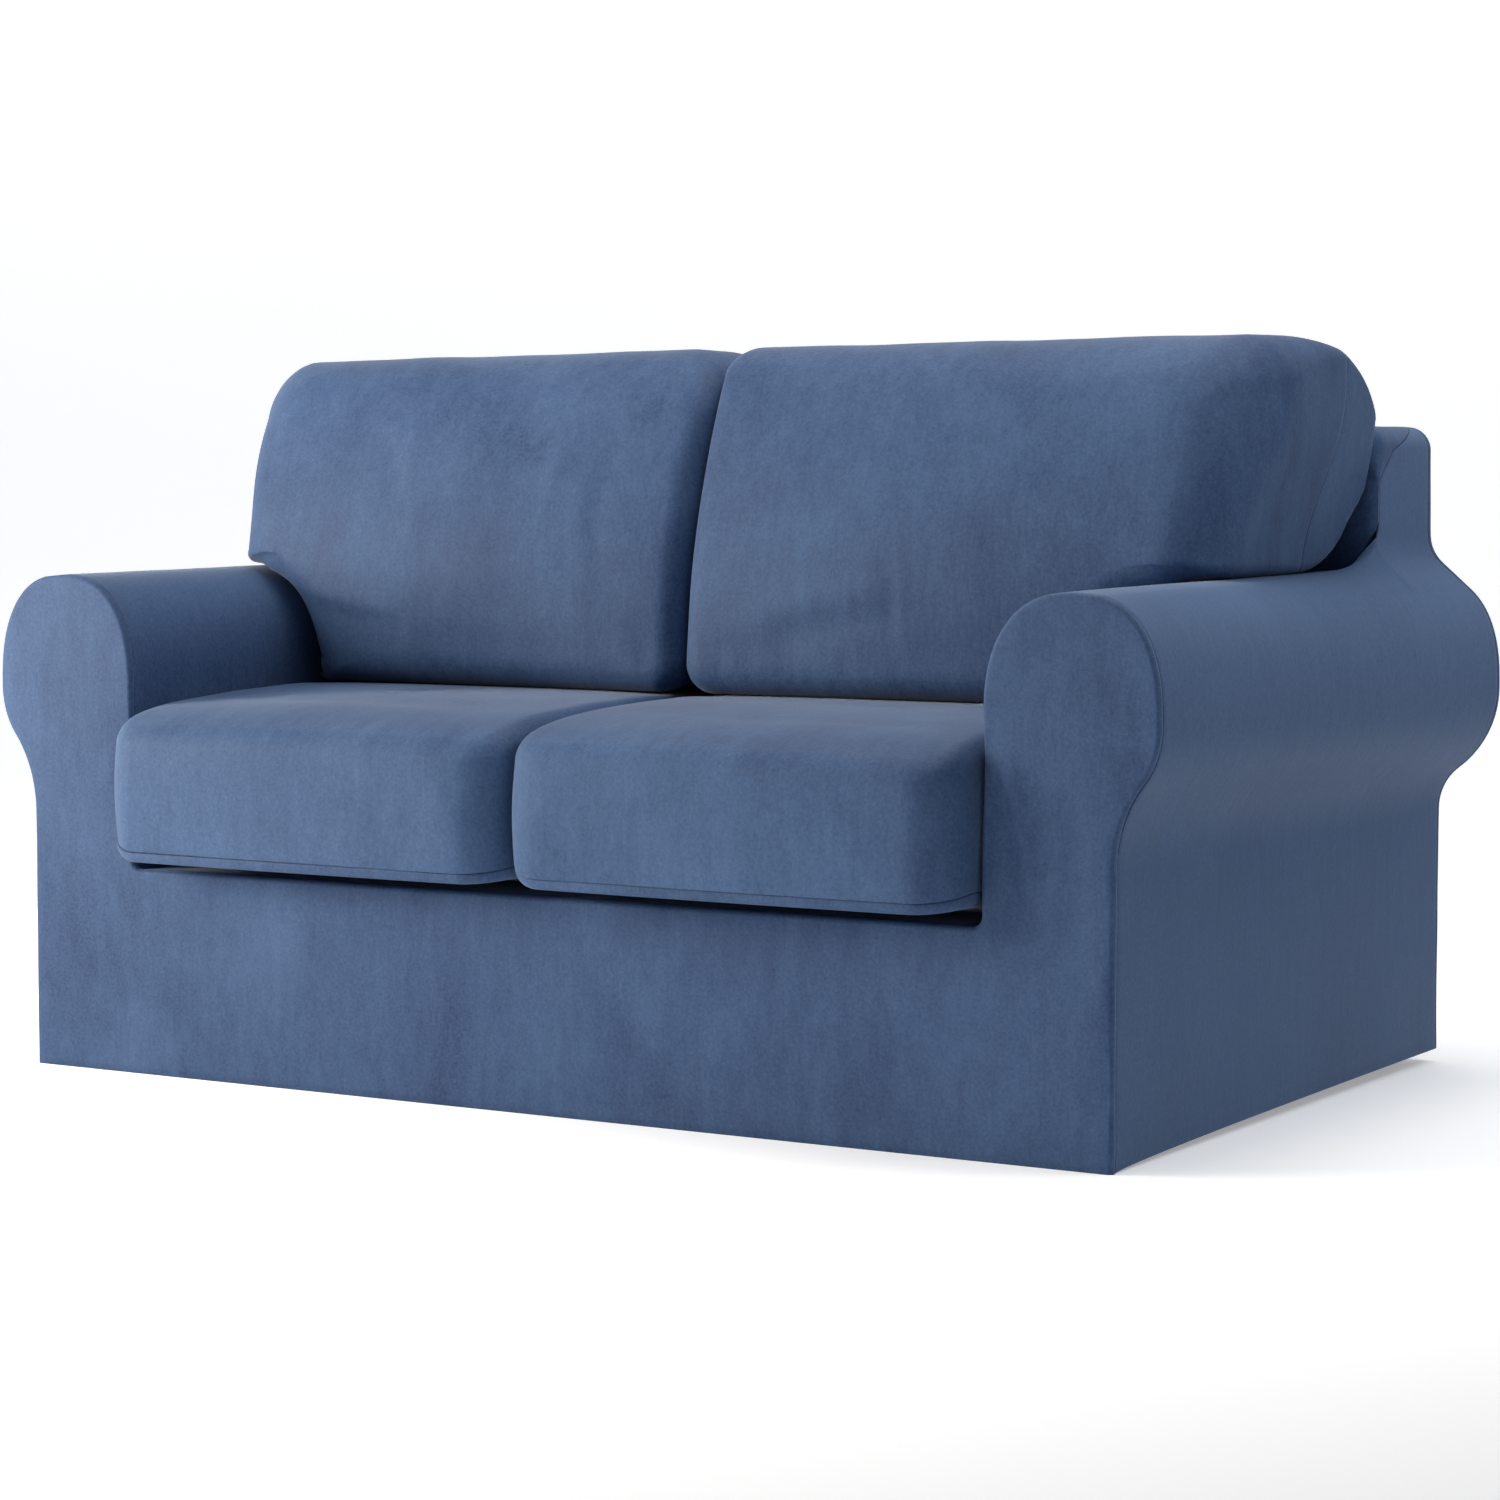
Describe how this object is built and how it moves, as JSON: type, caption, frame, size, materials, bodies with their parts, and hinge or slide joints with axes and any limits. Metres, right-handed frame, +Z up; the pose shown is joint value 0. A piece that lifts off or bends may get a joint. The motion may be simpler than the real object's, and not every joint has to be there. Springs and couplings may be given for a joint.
{
  "type": "sofa slipcover",
  "caption": "Stretched velvet slipcover for a two-seat sofa with rolled arms: a base cover with a floor-length skirt, plus loose covers for the seat and back cushions.",
  "frame": {"origin": "middle of the bounding box, on the floor under the hem", "axes": "+X to the right-hand arm of the picture, -Y the way the sofa faces, +Z up"},
  "size_m": [1.683, 1.0249, 0.9166],
  "materials": {
    "velvet": "soft dusty blue velvet with a short pile"
  },
  "bodies": {
    "root": {"front_panel": "velvet", "arm_panel_right": "velvet", "arm_panel_left": "velvet", "inside_back_panel": "velvet", "outer_back_panel": "velvet", "seat_deck_panel": "velvet", "seat_cover_top_right": "velvet", "seat_cover_top_left": "velvet", "seat_cover_border_right": "velvet", "seat_cover_border_left": "velvet", "back_cover_face_right": "velvet", "back_cover_face_left": "velvet", "back_cover_rear_right": "velvet", "back_cover_rear_left": "velvet"}
  },
  "joints": []
}
